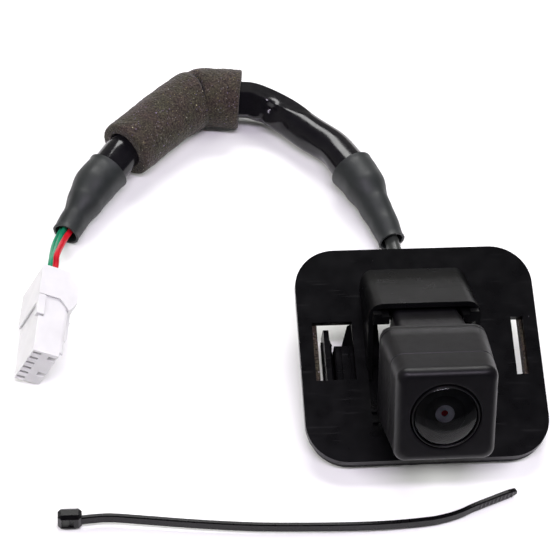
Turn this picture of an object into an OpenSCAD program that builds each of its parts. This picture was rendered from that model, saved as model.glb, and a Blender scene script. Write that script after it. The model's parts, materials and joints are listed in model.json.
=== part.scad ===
// Rear-view camera kit: a camera block in a moulded bracket plate, its lead with a foam
// sleeve and a six-way connector, and a loose cable tie. Millimetres, +Z up, on a table at z = 0.
// Bracket axes: u along the plate, p up the plate, n out of its front face.
// Camera axes: x across, y up, z along the lens axis, with z = 0 on the front face.

/* [Bracket plate] */
// Width of the plate
plate_w = 54.8; // [52:0.2:58]
// Height of the plate
plate_h = 51.8; // [50:0.2:54]
// Corner radius of the plate
plate_r = 9.4; // [6:0.2:12]
// Thickness of the plate
plate_t = 1.8; // [1.4:0.1:2.2]
// Thickness of the foam gasket
gasket_t = 2.55; // [2:0.05:3]
// Width of the gasket's ring
gasket_ring = 3.6; // [3:0.1:3.8]
// How far the plate leans back from level
tilt = 15; // [13:0.5:17]

/* [Hood] */
// Outer width of the hood
hood_w = 25.3; // [25:0.1:26]
// Wall of the hood
hood_wall = 1.2; // [1:0.1:1.4]
// Height of the hood's roof above the lens axis
hood_top = 12.7; // [12.4:0.1:13]
// Distance from the camera's front face back to the hood's rim
hood_rim = 30.5; // [29:0.5:31]

/* [Camera] */
// Angle between the plate's normal and the lens axis
look = 49; // [47:0.5:50]
// Width of the camera's front face
cam_front = 21.5; // [21:0.1:22]
// Width of the camera at its rear seam
cam_rear = 23.3; // [23:0.1:23.6]
// Depth of the front housing
cam_depth = 19.2; // [18.9:0.1:19.6]
// Radius of the lens hole in the front face
lens_hole = 7.65; // [7.5:0.05:7.8]

/* [Lead] */
// Diameter of the camera's own cable
cable_d = 3.4; // [3:0.1:3.6]
// Diameter of the vinyl sheath
sheath_d = 8.8; // [8.4:0.1:8.9]
// Diameter of the foam sleeve
foam_d = 14.4; // [12:0.4:14.4]
// Diameter of one wire
wire_d = 1.4; // [1.2:0.1:1.5]

/* [Connector] */
// Length of the connector housing
plug_l = 23; // [22:0.5:24]
// Height of the housing along its row of six ways
plug_h = 13; // [12.8:0.1:13.4]
// Thickness of the housing
plug_t = 7; // [6.8:0.1:7.2]
// Distance between two ways
pitch = 2.15; // [2:0.05:2.15]

/* [Cable tie] */
// Width of the strap
strap_w = 2.5; // [2.4:0.1:2.6]
// Thickness of the strap
strap_t = 1; // [0.9:0.1:1.1]

/* [Hidden] */
$fn = 64;
eps = 0.01;

// places
gasket_inset = 0.5;
gasket_shift = 0.3;
adhesive_t = 0.15;
skin = plate_t + adhesive_t + gasket_t;
bracket_z = (plate_h / 2 - gasket_inset) * sin(tilt) + skin * cos(tilt);
bracket_at = [27.5, 7.4, bracket_z];
cam_at = [0, -24.8, 22.7];
plug_at = [-55.6, 32.1, 8.86];
plug_turn = [[0, 0, -7.3], [4.6, 0, 0], [0, 22.3, 0]];

// window and slot in the plate
window_u = [-24.2, -15.1];
slot_u = [21.4, 24.2];
window_p = [-6.3, 7.9];
opening_p = [-20, 18.6];
opening_u = 12.4;

// rear of the bracket
clip_u = [-21.5, -20.3];
clip_end_n = -8.2;
ledge_n = [-4.4, -3.2];
neck_hole_u = 8.8;
neck_hole_p = [-17.6, 10];
reach_p = -7;
rear_reach = (bracket_z + reach_p * sin(tilt)) / cos(tilt);

// camera stack, along the lens axis from the front face
front_wall = 4.2;
parting_z = -8;
counterbore = 3;
ring_r = 7.35;
glass_r = 6.45;
barrel_r = 6.3;
cavity_w = 18.6;
board_w = 17.8;
board_t = 1;
flange_t = 2;
seam_z = -cam_depth;
flange_z = seam_z - flange_t;
neck_z = -35.6;
neck_wall_z = -34.2;
grommet_z = -41.6;
screw_at = 9.6;
sensor_board_z = -15.2;
power_board_z = -17.9;
plug_end_z = -22.9;

// connector
ways = 6;
way_x = -0.75;
collar_l = 8;
latch_pivot = [4.6, -15];
latch_half = 2.4;
retainer_l = 13.4;

// cable tie
tie_head = [5.2, 3, 4.8];
strap_lift = (tie_head.z - strap_w) / 2;
tie_dip = 0.65;
tie_at = [-55, -28.3, tie_head.x * sin(tie_dip)];

// routes of the lead, chosen by hand
sheath_route = [[20.5, 65, 5.5], [17.5, 71.5, 5.3], [14.5, 77, 5.1], [9.5, 82.5, 5.2],
    [3.3, 88, 5.8], [-3.8, 92.5, 6.8], [-7.5, 93.7, 7.25], [-12.5, 94.4, 7.25], [-18.5, 93.6, 7.25],
    [-24.5, 90.3, 7.25], [-30.5, 83.5, 7.25], [-36.5, 76, 7.25], [-39.5, 72.2, 6.6],
    [-42, 69, 5.9], [-44.5, 65.5, 5.4]];
foam_first = 6;
foam_last = 11;
cable_bends = [[27.5, 18.5, 6.4], [27.4, 23, 4.6], [27.3, 29, 3.4], [27.1, 36, 3], [26.8, 42, 3.1],
    [26, 48, 3.6], [24.6, 53, 4.2], [23.2, 57.5, 4.6]];
boot_front = [[26.2, 47, 3.5], [25, 51.5, 4], [23.2, 57.5, 4.6], [20.5, 65, 5.5], [18.6, 69, 5.6]];
boot_front_r = [3.1, 3.6, 4.2, 5.35, 5.5];
boot_rear = [[-41, 70.2, 6], [-44.5, 65.5, 5.4], [-47.5, 60, 4.7], [-49.6, 56, 4.1], [-51.7, 52, 3.7]];
boot_rear_r = [5.2, 5.3, 4.5, 3.5, 3.2];
red_bends = [[-45.5, 61.5, 5.7], [-47.9, 57, 5.2], [-50.3, 52.5, 4.7], [-51.8, 48.5, 6.2]];
upper_bends = [[-46.9, 62.2, 5.5], [-49.3, 57.7, 5], [-51.7, 53.2, 4.5], [-53.2, 48.6, 5.1]];
lower_bends = [[-47.8, 62.7, 4.3], [-50.2, 58.2, 3.8], [-52.6, 53.7, 3.3], [-54.5, 48.6, 3.3]];
tie_route = [[4.6, -0.5], [8, -0.2], [12, -0.2], [20, -1.2], [31, -2.6], [44, -3.8], [60, -4.4],
    [71, -4.4], [80, -3.8], [84, -3.1], [87.5, -2], [91, -0.4], [100.6, 3.4]];

// rotation of a vector by [x, y, z] degrees about the axes, one after the other
function turn_x(v, a) = [v.x, v.y * cos(a) - v.z * sin(a), v.y * sin(a) + v.z * cos(a)];
function turn_y(v, a) = [v.x * cos(a) + v.z * sin(a), v.y, v.z * cos(a) - v.x * sin(a)];
function turn_z(v, a) = [v.x * cos(a) - v.y * sin(a), v.x * sin(a) + v.y * cos(a), v.z];
function bracket_point(v) = bracket_at + turn_x(v, tilt);
function camera_point(v) = bracket_point(cam_at + turn_x(v, look));
function plug_point(v) =
    plug_at + turn_z(turn_x(turn_y(v, plug_turn[2].y), plug_turn[1].x), plug_turn[0].z);
function way_z(i) = (2.5 - i) * pitch;

module in_bracket() {
    translate(bracket_at)
        rotate([tilt, 0, 0])
            children();
}

module in_camera() {
    in_bracket()
        translate(cam_at)
            rotate([look, 0, 0])
                children();
}

module in_plug() {
    translate(plug_at)
        rotate(plug_turn[0])
            rotate(plug_turn[1])
                rotate(plug_turn[2])
                    children();
}

module in_tie() {
    translate(tie_at)
        rotate([0, tie_dip, 0])
            children();
}

// rectangle with round corners, centred
module round_rect(w, h, r) {
    for (x = [-1, 1], y = [-1, 1])
        translate([x * (w / 2 - r), y * (h / 2 - r)])
            circle(r);
    square([w - 2 * r, h], center = true);
    square([w, h - 2 * r], center = true);
}

// box from its lowest to its highest corner
module block(low, high) {
    translate(low)
        cube(high - low);
}

// round-cornered slab between two heights
module slab(w, h, r, z0, z1) {
    translate([0, 0, z0])
        linear_extrude(z1 - z0)
            round_rect(w, h, r);
}

module disc(r, z0, z1) {
    translate([0, 0, z0])
        cylinder(r = r, h = z1 - z0);
}

// outline in the (u, n) plane, run along p
module run_p(outline, p0, p1) {
    translate([0, p1, 0])
        rotate([90, 0, 0])
            linear_extrude(p1 - p0)
                polygon(outline);
}

// outline in the (p, n) plane, run along u
module run_u(outline, u0, u1) {
    translate([u0, 0, 0])
        rotate([90, 0, 90])
            linear_extrude(u1 - u0)
                polygon(outline);
}

// tube swept along a route: one ring of the given radius at each point
function unit(v) = v / norm(v);
function heading(route, i) =
    unit(route[min(i + 1, len(route) - 1)] - route[max(i - 1, 0)]);
function ring(centre, ahead, r, sides) =
    let (side = unit(cross(ahead, [0, 0, 1])), up = cross(side, ahead))
    [for (k = [0:sides - 1])
        centre + r * (cos(360 * k / sides) * side + sin(360 * k / sides) * up)];
module tube(route, radii, sides) {
    last = len(route) - 1;
    points = [for (i = [0:last]) each ring(route[i], heading(route, i), radii[i], sides)];
    walls = [for (i = [0:last - 1], k = [0:sides - 1])
        let (a = i * sides + k, b = i * sides + (k + 1) % sides)
        [a, b, b + sides, a + sides]];
    ends = [[for (k = [sides - 1:-1:0]) k], [for (k = [0:sides - 1]) last * sides + k]];
    polyhedron(points, concat(walls, ends));
}
function same(r, route) = [for (point = route) r];

// hood outline across the lens axis, from below the plate to the roof
module hood_tube() {
    top = hood_top;
    low = -22;
    inner = hood_w - 2 * hood_wall;
    translate([0, 0, -70])
        difference() {
            linear_extrude(70 - hood_rim)
                translate([0, (top + low) / 2])
                    round_rect(hood_w, top - low, 3.2);
            translate([0, 0, -eps])
                linear_extrude(71 - hood_rim)
                    translate([0, (top - hood_wall + low) / 2])
                        round_rect(inner, top - hood_wall - low, 2);
        }
}

// finger that hooks over the camera's shoulder, one on each side
module shoulder_finger(side) {
    block([side * 10 - 1.8, 8.7, -40], [side * 10 + 1.8, 10.5, -28.2]);
    block([side * 10 - 1.8, 10.5 - eps, -40], [side * 10 + 1.8, 11.6, -33]);
    block([side * 10.9 - 0.9, 10.5 - eps, -30], [side * 10.9 + 0.9, 11.2, -28.2]);
}

// window and slot through the plate
module bracket_openings() {
    block([window_u[0], window_p[0], -plate_t - eps], [window_u[1], window_p[1], eps]);
    block([slot_u[0], window_p[0], -plate_t - eps], [slot_u[1], window_p[1], eps]);
}

// upright behind the window: ribbed block, foot and gusset
module clip_block() {
    front_n = -3.9;
    block([-19.1, reach_p, -rear_reach], [-13.5, 3.6, front_n]);
    block([-21.6, reach_p, -rear_reach], [-19.1 + eps, 6, clip_end_n - 0.4]);
    block([-19.1, -9.2, -4.6], [-13.5, reach_p, -plate_t + eps]);
    for (u = [-18.9, -17.6, -15.6])
        block([u, reach_p, front_n - eps], [u + (u == -17.6 ? 1.4 : 0.7), 3.3, front_n + 0.6]);
    intersection() {
        translate([0, 0, -7])
            linear_extrude(4.5)
                polygon([[-17.4, 3.6 - eps], [-15.6, 9], [-13.5, 9], [-13.5, 3.6 - eps]]);
        translate([-17.6, 0, -6.4])
            rotate([0, -38, 0])
                block([-1, 3, -8], [8, 9.5, 0]);
    }
}

module locating_hook() {
    block([19.4, -6.6, -rear_reach], [21, 6.6, -plate_t + eps]);
    run_p([[21 - eps, -5.6], [21.9, -5.6], [21 - eps, -rear_reach]], -6.6, 6.6);
    for (p = [-4, 4])
        run_u([[p - 0.6, -plate_t + eps], [p + 0.6, -plate_t + eps], [p + 0.6, -6], [p - 0.6, -6]],
            16.5, 19.4 + eps);
}

module mounting_bracket() {
    color("#141518")
        in_bracket()
            difference() {
                union() {
                    difference() {
                        union() {
                            slab(plate_w, plate_h, plate_r, -plate_t, 0);
                            // skirt round the opening, behind the plate
                            translate([0, (opening_p[0] + opening_p[1]) / 2, 0])
                                slab(2 * opening_u + 2.4, opening_p[1] - opening_p[0] + 2.4, 2.5,
                                    ledge_n[0], -eps);
                        }
                        translate([0, (opening_p[0] + opening_p[1]) / 2, 0])
                            slab(2 * opening_u, opening_p[1] - opening_p[0], 1.5, -6, 1);
                    }
                    // inner ledge that closes the gap round the camera's neck and cable
                    difference() {
                        translate([0, (opening_p[0] + opening_p[1]) / 2, 0])
                            slab(2 * opening_u + 1, opening_p[1] - opening_p[0] + 1, 2,
                                ledge_n[0], ledge_n[1]);
                        translate([0, (neck_hole_p[0] + neck_hole_p[1]) / 2, 0])
                            slab(2 * neck_hole_u, neck_hole_p[1] - neck_hole_p[0], 1.5, -6, 0);
                    }
                    for (side = [-1, 1], p = [-16, -13.4])
                        block([side * 11.6 - 1, p, ledge_n[1] - eps],
                            [side * 11.6 + 1, p + 0.7, ledge_n[1] + 0.9]);
                    // hood
                    intersection() {
                        translate(cam_at)
                            rotate([look, 0, 0])
                                union() {
                                    hood_tube();
                                    shoulder_finger(-1);
                                    shoulder_finger(1);
                                }
                        block([-20, -10, -plate_t + eps], [20, 30, 40]);
                    }
                    clip_block();
                    locating_hook();
                }
                bracket_openings();
            }
}

// flat ring that follows the plate's edge
module gasket_ring_slab(n0, n1) {
    w = plate_w - 2 * gasket_inset;
    h = plate_h - 2 * gasket_inset;
    translate([gasket_shift, 0, 0])
        difference() {
            slab(w, h, plate_r - gasket_inset, n0, n1);
            slab(w - 2 * gasket_ring, h - 2 * gasket_ring, plate_r - gasket_inset - gasket_ring,
                n0 - 1, n1 + 1);
        }
}

module gasket_adhesive() {
    color("#8a8578")
        in_bracket()
            gasket_ring_slab(-plate_t - adhesive_t, -plate_t);
}

module foam_gasket() {
    color("#5a4f48")
        in_bracket()
            gasket_ring_slab(-skin, -plate_t - adhesive_t);
}

// springy side catch behind the window, hinged at its root under the plate
module snap_clip() {
    color("#17171a")
        in_bracket() {
            difference() {
                run_u([[-9, -2.1], [-9, -5], [-6.7, clip_end_n], [5.6, clip_end_n], [7.3, -7.6], [7.3, -2.1]],
                    clip_u[0], clip_u[1]);
                difference() {
                    block([-23, 6.1, -3.3], [-20, 8, -1]);
                    translate([-23, 6.1, -3.3])
                        rotate([0, 90, 0])
                            cylinder(r = 1.2, h = 3);
                }
            }
            run_p([[clip_u[0] + eps, -5.6], [clip_u[0] - 0.45, -5.6], [clip_u[0] + eps, clip_end_n]], -6.5, 5.4);
            translate([0, 0, -4.6])
                linear_extrude(1.2)
                    polygon([[clip_u[1] - eps, 5.6], [-19.6, 3.6], [clip_u[1] - eps, 3.6]]);
        }
}

// front shell: drafted block with rounded edges, open at the rear seam
module camera_front_housing() {
    color("#242326")
        in_camera()
            difference() {
                hull() {
                    slab(cam_front - 3.6, cam_front - 3.6, 2, -0.1, 0, $fn = 32);
                    slab(cam_front - 1.4, cam_front - 1.4, 2.4, -0.8, -0.7, $fn = 32);
                    slab(cam_front, cam_front, 2.8, -2.3, -2.2, $fn = 32);
                    slab(cam_rear, cam_rear, 3, seam_z, seam_z + 0.1, $fn = 32);
                }
                // parting line round the outside
                difference() {
                    slab(30, 30, 1, parting_z - 0.12, parting_z);
                    slab(cam_front + 0.45, cam_front + 0.45, 2.9, parting_z - 1, parting_z + 1);
                }
                slab(cavity_w, cavity_w, 5, seam_z - 1, -front_wall);
                disc(lens_hole, -counterbore, 1);
                disc(barrel_r + 0.1, -front_wall - 1, -counterbore + eps);
                for (x = [-1, 1], y = [-1, 1])
                    translate([x * screw_at, y * screw_at, seam_z - 1])
                        cylinder(r = 0.65, h = 8);
            }
}

// rear shell: flange, hollow neck and the hole for the grommet
module camera_rear_housing() {
    color("#2b2a2a")
        in_camera()
            difference() {
                union() {
                    slab(cam_rear, cam_rear, 3, flange_z, seam_z);
                    hull() {
                        translate([0.3, 2.05, 0])
                            slab(16, 18.7, 1.6, flange_z - 0.2, flange_z + eps, $fn = 32);
                        translate([0.3, 2, 0])
                            slab(14.6, 16.4, 1.6, neck_z, neck_z + 0.2, $fn = 32);
                    }
                }
                translate([0, 1.6, 0])
                    slab(12.6, 13, 1.2, neck_wall_z, seam_z + 1);
                difference() {
                    slab(21.2, 21.2, 6.4, seam_z - 0.8, seam_z + 1);
                    slab(19.6, 19.6, 5.6, seam_z - 1, seam_z + 2);
                }
                disc(2.9, neck_z - 1, neck_wall_z + 1);
                for (x = [-1, 1], y = [-1, 1])
                    translate([x * screw_at, y * screw_at, flange_z - 1])
                        cylinder(r = 0.9, h = flange_t + 2);
            }
}

module housing_seal() {
    color("#5b6a70")
        in_camera()
            difference() {
                slab(21.2, 21.2, 6.4, seam_z - 0.8, seam_z);
                slab(19.6, 19.6, 5.6, seam_z - 1, seam_z + 1);
            }
}

// pan-head screw, head below z = 0 and shank above it
module small_screw(head_r, shank_r, shank_l) {
    difference() {
        union() {
            translate([0, 0, -0.8])
                cylinder(r = head_r, h = 0.8);
            cylinder(r = shank_r, h = shank_l);
        }
        for (turn = [0, 90])
            rotate([0, 0, turn])
                block([-head_r * 0.7, -0.15, -1], [head_r * 0.7, 0.15, -0.4]);
    }
}

module housing_screws() {
    color("#9a9a9c")
        in_camera()
            for (x = [-1, 1], y = [-1, 1])
                translate([x * screw_at, y * screw_at, flange_z])
                    small_screw(1.25, 0.63, 6.5);
}

module lens_retaining_ring() {
    color("#1c1b1d")
        in_camera()
            rotate_extrude()
                polygon([[6.55, -1.6], [ring_r, -1.6], [ring_r, 0.1], [ring_r - 0.25, 0.35],
                    [6.5, 0.35], [6.2, 0.05], [6.2, -0.4], [6.55, -0.4]]);
}

module lens_seal() {
    color("#2a2a2c")
        in_camera()
            translate([0, 0, -2.5])
                rotate_extrude()
                    translate([6.9, 0])
                        circle(0.48);
}

// meniscus glass: domed front, hollowed rear
module lens_dome() {
    front_r = 8.95;
    rear_r = 5.11;
    color("#1a1a20")
        in_camera()
            difference() {
                union() {
                    disc(glass_r, -1.6, -0.5);
                    intersection() {
                        translate([0, 0, 2 - front_r])
                            sphere(front_r);
                        disc(6.1, -0.5 - eps, 3);
                    }
                }
                translate([0, 0, 0.6 - rear_r])
                    sphere(rear_r);
            }
}

module lens_barrel() {
    color("#18181a")
        in_camera()
            rotate_extrude()
                polygon([[4.3, -1.6], [ring_r, -1.6], [ring_r, -2], [barrel_r, -2], [barrel_r, -12.2],
                    [2.4, -12.2], [2.4, -10.6], [3, -10.6], [3, -4.7], [4.3, -4.7]]);
}

module lens_baffle() {
    color("#0c0c0d")
        in_camera()
            rotate_extrude()
                polygon([[1.9, -1.95], [4.25, -1.85], [4.25, -2.2], [1.9, -2.2]]);
}

module aperture_stop() {
    color("#77767a")
        in_camera()
            rotate_extrude()
                polygon([[0.7, -2.2], [4.25, -2.2], [4.25, -4.7], [3.3, -4.7], [3.3, -2.7],
                    [0.7, -2.7]]);
}

// biconvex glass between two heights, cut to a cylinder
module glass_element(r, z0, z1, bulge) {
    ball = (r * r + bulge * bulge) / (2 * bulge);
    intersection() {
        disc(r, z0, z1);
        translate([0, 0, z1 - ball])
            sphere(ball);
        translate([0, 0, z0 + ball])
            sphere(ball);
    }
}

module middle_lens() {
    color("#23324a")
        in_camera()
            glass_element(2.95, -6.6, -4.2, 0.7);
}

module rear_lens() {
    color("#23324a")
        in_camera()
            glass_element(2.95, -10.5, -8, 0.8);
}

module lens_mount() {
    color("#1d1d1f")
        in_camera()
            difference() {
                slab(15.4, 15.4, 1, -14.2, -9.4);
                disc(barrel_r + 0.05, -12.6, -9);
                block([-4.5, -4.5, -15], [4.5, 4.5, -12.5]);
                for (side = [-1, 1])
                    translate([side * 6.6, side * 6.6, -15])
                        cylinder(r = 0.5, h = 3.5);
            }
}

module mount_screws() {
    color("#b9b9ba")
        in_camera()
            for (side = [-1, 1])
                translate([side * 6.6, side * 6.6, sensor_board_z])
                    small_screw(0.95, 0.48, 3.2);
}

module ir_filter() {
    color("#b24a62")
        in_camera()
            block([-4.5, -4.5, -12.95], [4.5, 4.5, -12.6]);
}

module image_sensor() {
    color("#3a3f3c")
        in_camera() {
            block([-3.2, -3.2, -14.2], [3.2, 3.2, -13.4]);
            block([-2.6, -2.6, -13.4 - eps], [2.6, 2.6, -13.1]);
        }
}

module board(z0) {
    difference() {
        slab(board_w, board_w, 4.6, z0, z0 + board_t);
        for (side = [-1, 1])
            translate([side * 6.6, side * 6.6, z0 - 1])
                cylinder(r = 0.55, h = board_t + 2);
    }
}

module sensor_board() {
    color("#1f5a3a")
        in_camera()
            board(sensor_board_z);
}

module board_header() {
    color("#202022")
        in_camera()
            block([-5, -7, power_board_z + board_t], [5, -4.6, sensor_board_z]);
}

module power_board() {
    color("#1f5a3a")
        in_camera() {
            board(power_board_z);
            block([-6.5, 3, power_board_z - 0.9], [-2.5, 7, power_board_z + eps]);
            block([1.5, 4.6, power_board_z - 1.1], [4.1, 7.2, power_board_z + eps]);
        }
}

module cable_plug() {
    color("#e6e2d8")
        in_camera()
            block([-4, -2.4, plug_end_z], [4, 2.4, power_board_z]);
}

module cable_grommet() {
    color("#1b1b1c")
        in_camera()
            rotate_extrude()
                polygon([[1.78, -33], [3.8, -33], [3.8, neck_wall_z], [2.86, neck_wall_z],
                    [2.86, neck_z], [3.5, neck_z], [3.5, neck_z - 1], [2.3, grommet_z],
                    [1.78, grommet_z]]);
}

cable_route = concat([for (z = [plug_end_z, -29, -35, grommet_z]) camera_point([0, 0, z])],
    cable_bends);

module camera_cable() {
    color("#1b1c1c")
        tube(cable_route, same(cable_d / 2, cable_route), 8);
}

module heat_shrink_front() {
    color("#2c2e2e")
        difference() {
            tube(boot_front, boot_front_r, 12);
            tube(cable_route, same(cable_d / 2 + 0.1, cable_route), 8);
            tube(sheath_route, same(sheath_d / 2 + 0.1, sheath_route), 12);
        }
}

module vinyl_sheath() {
    color("#141414")
        tube(sheath_route, same(sheath_d / 2, sheath_route), 12);
}

module foam_sleeve() {
    span = [for (i = [foam_first:foam_last]) sheath_route[i]];
    color("#5f5653")
        difference() {
            tube(span, same(foam_d / 2, span), 12);
            tube(sheath_route, same(sheath_d / 2 + 0.1, sheath_route), 12);
        }
}

function wire_route(bends, way) =
    concat(bends, [plug_point([way_x, 5, way_z(way)]), plug_point([way_x, 2, way_z(way)]),
        plug_point([way_x, -5, way_z(way)])]);
red_route = wire_route(red_bends, 0);
upper_route = wire_route(upper_bends, 1);
lower_route = wire_route(lower_bends, 2);

module wire(route, extra) {
    tube(route, same(wire_d / 2 + extra, route), 8);
}

module heat_shrink_rear() {
    color("#2c2e2e")
        difference() {
            tube(boot_rear, boot_rear_r, 12);
            tube(sheath_route, same(sheath_d / 2 + 0.1, sheath_route), 12);
            wire(red_route, 0.1);
            wire(upper_route, 0.1);
            wire(lower_route, 0.1);
        }
}

module wire_red() {
    color("#d63b45")
        wire(red_route, 0);
}

module wire_green_upper() {
    color("#1f9a6d")
        wire(upper_route, 0);
}

module wire_green_lower() {
    color("#1f9a6d")
        wire(lower_route, 0);
}

// guards beside the latch, flaring out of the collar
module latch_guard(z0, z1) {
    translate([0, 0, z0])
        linear_extrude(z1 - z0)
            polygon([[1, -collar_l], [1, 0], [2.35, 0], [3.4, -1.8], [4.95, -3.6], [5.1, -7.8],
                [3.4, -10.5]]);
}

// six-way housing: collar, ways, front slots and guide notches
module connector_housing() {
    half = plug_h / 2;
    color("#ece9e6")
        in_plug()
            difference() {
                union() {
                    block([-plug_t / 2, -plug_l, -half], [plug_t / 2 - 1, -0.01, half]);
                    translate([plug_t / 2 - 1.5, 0, 0])
                        rotate([90, 0, 0])
                            linear_extrude(plug_l - 1.2)
                                round_rect(3, plug_h, 1.2);
                    block([-plug_t / 2, -collar_l, -half - 0.5], [2.35, 0, half + 0.5]);
                    block([-plug_t / 2 - 0.6, -collar_l, half - 0.1], [0, 0, half + 0.5]);
                    latch_guard(-half, -2.9);
                    latch_guard(2.9, half + 0.5);
                    for (z = [-1, 1])
                        block([plug_t / 2 - 0.5, -16.5, z * 3.2 - 0.5],
                            [plug_t / 2 + 0.9, -2, z * 3.2 + 0.5]);
                }
                // the six ways, open at the rear, each with a slot in the front wall
                for (i = [0:ways - 1]) {
                    block([-2.8, -plug_l + 1.6, way_z(i) - 0.85], [0.25, 1, way_z(i) + 0.85]);
                    block([-3.3, -plug_l - 1, way_z(i) - 0.4], [-1.3, -plug_l + 2, way_z(i) + 0.4]);
                }
                // guide notches beside the slots and the set-back edge
                for (z = [4.6, -2.3])
                    block([0.5, -plug_l - 1, z - 0.75], [plug_t, -plug_l + 2.4, z + 0.75]);
                block([2.7, -plug_l - 1, -half - 1], [plug_t, -plug_l + 2.4, 4]);
                // clearance under the latch
                block([plug_t / 2 - 0.3, -16.5, -2.7], [plug_t, 1, 2.7]);
                // seat of the retainer
                block([-plug_t, -retainer_l - 0.2, half - 1.3], [-plug_t / 2 + 1.2, -collar_l, half + 2]);
            }
}

// side-entry retainer that locks the terminals
module connector_retainer() {
    half = plug_h / 2;
    outside = -plug_t / 2 - 0.6;
    color("#e9e6e2")
        in_plug() {
            block([outside, -collar_l - 1.6, -half - 0.5], [-plug_t / 2 - 0.1, -0.3, half - 0.2]);
            block([outside, -retainer_l, half - 1.2], [-plug_t / 2 + 1.1, -collar_l - 0.1, half + 0.5]);
        }
}

// sprung lever with a thumb pad, hinged near the mating end
module connector_latch() {
    x0 = latch_pivot.x - 0.4;
    color("#ece9e6")
        in_plug() {
            block([x0, -14.9, -latch_half], [x0 + 0.8, -1.2, latch_half]);
            translate([latch_pivot.x, -15, -latch_half])
                cylinder(r = 0.4, h = 2 * latch_half, $fn = 24);
            translate([0, 0, -latch_half])
                linear_extrude(2 * latch_half)
                    polygon([[x0 + 0.8 - eps, -1.2], [x0 + 2, -3], [x0 + 2, -5.5], [x0 + 0.8 - eps, -8]]);
            translate([0, 0, -1])
                linear_extrude(2)
                    polygon([[x0 + 0.8 - eps, -9.5], [x0 + 1.5, -9.5], [x0 + 0.8 - eps, -12]]);
        }
}

module connector_terminals() {
    color("#c9b27a")
        in_plug()
            for (way = [0, 1, 2])
                difference() {
                    block([way_x - 0.9, -18, way_z(way) - 0.8], [way_x + 0.9, -5.1, way_z(way) + 0.8]);
                    block([way_x - 0.6, -19, way_z(way) - 0.5], [way_x + 0.6, -11, way_z(way) + 0.5]);
                }
}

// outline of the strap, offset by a distance to one side of its route
function strap_side(d) = [for (i = [0:len(tie_route) - 1])
    let (ahead = unit(tie_route[min(i + 1, len(tie_route) - 1)] - tie_route[max(i - 1, 0)]))
    tie_route[i] + d * [-ahead.y, ahead.x]];

module cable_tie() {
    back = strap_side(-strap_t / 2);
    tail = len(tie_route) - 2;
    tail_run = unit(tie_route[tail + 1] - tie_route[tail]);
    color("#262427")
        in_tie() {
            difference() {
                block([0, -1.5, 0], [tie_head.x, 1.5, tie_head.z]);
                // way through the head, for the strap's tail
                block([0.9, -3, strap_lift - 0.2], [3.3, 3, strap_lift + strap_w + 0.2]);
                translate([tie_head.x, -1.5, 0])
                    rotate([0, 0, 45])
                        cube([1.4, 1.4, 12], center = true);
            }
            translate([0, 0, strap_lift])
                linear_extrude(strap_w)
                    polygon(concat(strap_side(strap_t / 2),
                        [for (i = [len(back) - 1:-1:0]) back[i]]));
            // grip ridges across the front of the straight tail
            for (i = [0:8])
                translate(concat(tie_route[tail] + (0.8 + i) * tail_run, [strap_lift + 0.3]))
                    rotate([0, 0, atan2(tail_run.y, tail_run.x)])
                        block([-0.2, -strap_t / 2 - 0.15, 0], [0.2, 0, strap_w - 0.6]);
        }
}

// sprung tongue inside the head
module tie_pawl() {
    color("#262427")
        in_tie()
            block([2.45, -1.1, strap_lift], [3.05, 0.9, strap_lift + strap_w]);
}

mounting_bracket();
gasket_adhesive();
foam_gasket();
snap_clip();
camera_front_housing();
camera_rear_housing();
housing_seal();
housing_screws();
lens_retaining_ring();
lens_seal();
lens_dome();
lens_barrel();
lens_baffle();
aperture_stop();
middle_lens();
rear_lens();
lens_mount();
mount_screws();
ir_filter();
image_sensor();
sensor_board();
board_header();
power_board();
cable_plug();
cable_grommet();
camera_cable();
heat_shrink_front();
vinyl_sheath();
foam_sleeve();
heat_shrink_rear();
wire_green_upper();
wire_green_lower();
wire_red();
connector_housing();
connector_retainer();
connector_latch();
connector_terminals();
cable_tie();
tie_pawl();
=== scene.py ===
import json
import math

import bmesh
import bpy
from mathutils import Matrix, Vector, noise


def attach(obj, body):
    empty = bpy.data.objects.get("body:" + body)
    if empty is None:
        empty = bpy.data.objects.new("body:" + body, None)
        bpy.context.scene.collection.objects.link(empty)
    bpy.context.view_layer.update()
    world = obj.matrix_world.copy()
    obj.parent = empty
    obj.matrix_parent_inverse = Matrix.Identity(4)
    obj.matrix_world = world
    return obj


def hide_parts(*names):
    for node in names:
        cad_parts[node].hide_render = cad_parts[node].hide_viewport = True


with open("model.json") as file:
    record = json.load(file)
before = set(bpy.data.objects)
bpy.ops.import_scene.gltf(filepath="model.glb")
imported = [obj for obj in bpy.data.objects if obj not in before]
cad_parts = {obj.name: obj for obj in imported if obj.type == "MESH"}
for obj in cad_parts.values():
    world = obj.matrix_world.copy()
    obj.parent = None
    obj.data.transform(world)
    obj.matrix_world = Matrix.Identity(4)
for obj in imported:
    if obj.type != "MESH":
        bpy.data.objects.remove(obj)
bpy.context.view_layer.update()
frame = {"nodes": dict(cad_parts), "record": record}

MM = 0.001
scene = bpy.context.scene


# ---------------------------------------------------------------- places, as in the CAD model
def turn(degrees, axis):
    """Rotation about an axis through the origin."""
    return Matrix.Rotation(math.radians(degrees), 4, axis)


def shift(x, y, z):
    """Move by millimetres."""
    return Matrix.Translation(Vector((x, y, z)) * MM)


# plate, and the stack of adhesive film and gasket behind it, which stops short of the plate's edge
PLATE_W, PLATE_H, PLATE_T = 54.8, 51.8, 1.8
ADHESIVE_T = 0.15
GASKET_T = 2.55
GASKET_INSET = 0.5
GASKET_HALF_W = PLATE_W / 2 - GASKET_INSET
GASKET_HALF_H = PLATE_H / 2 - GASKET_INSET
SKIN = PLATE_T + ADHESIVE_T + GASKET_T
TILT = 15
BRACKET_Z = GASKET_HALF_H * math.sin(math.radians(TILT)) + SKIN * math.cos(math.radians(TILT))
BRACKET = shift(27.5, 7.4, BRACKET_Z) @ turn(TILT, "X")

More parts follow.
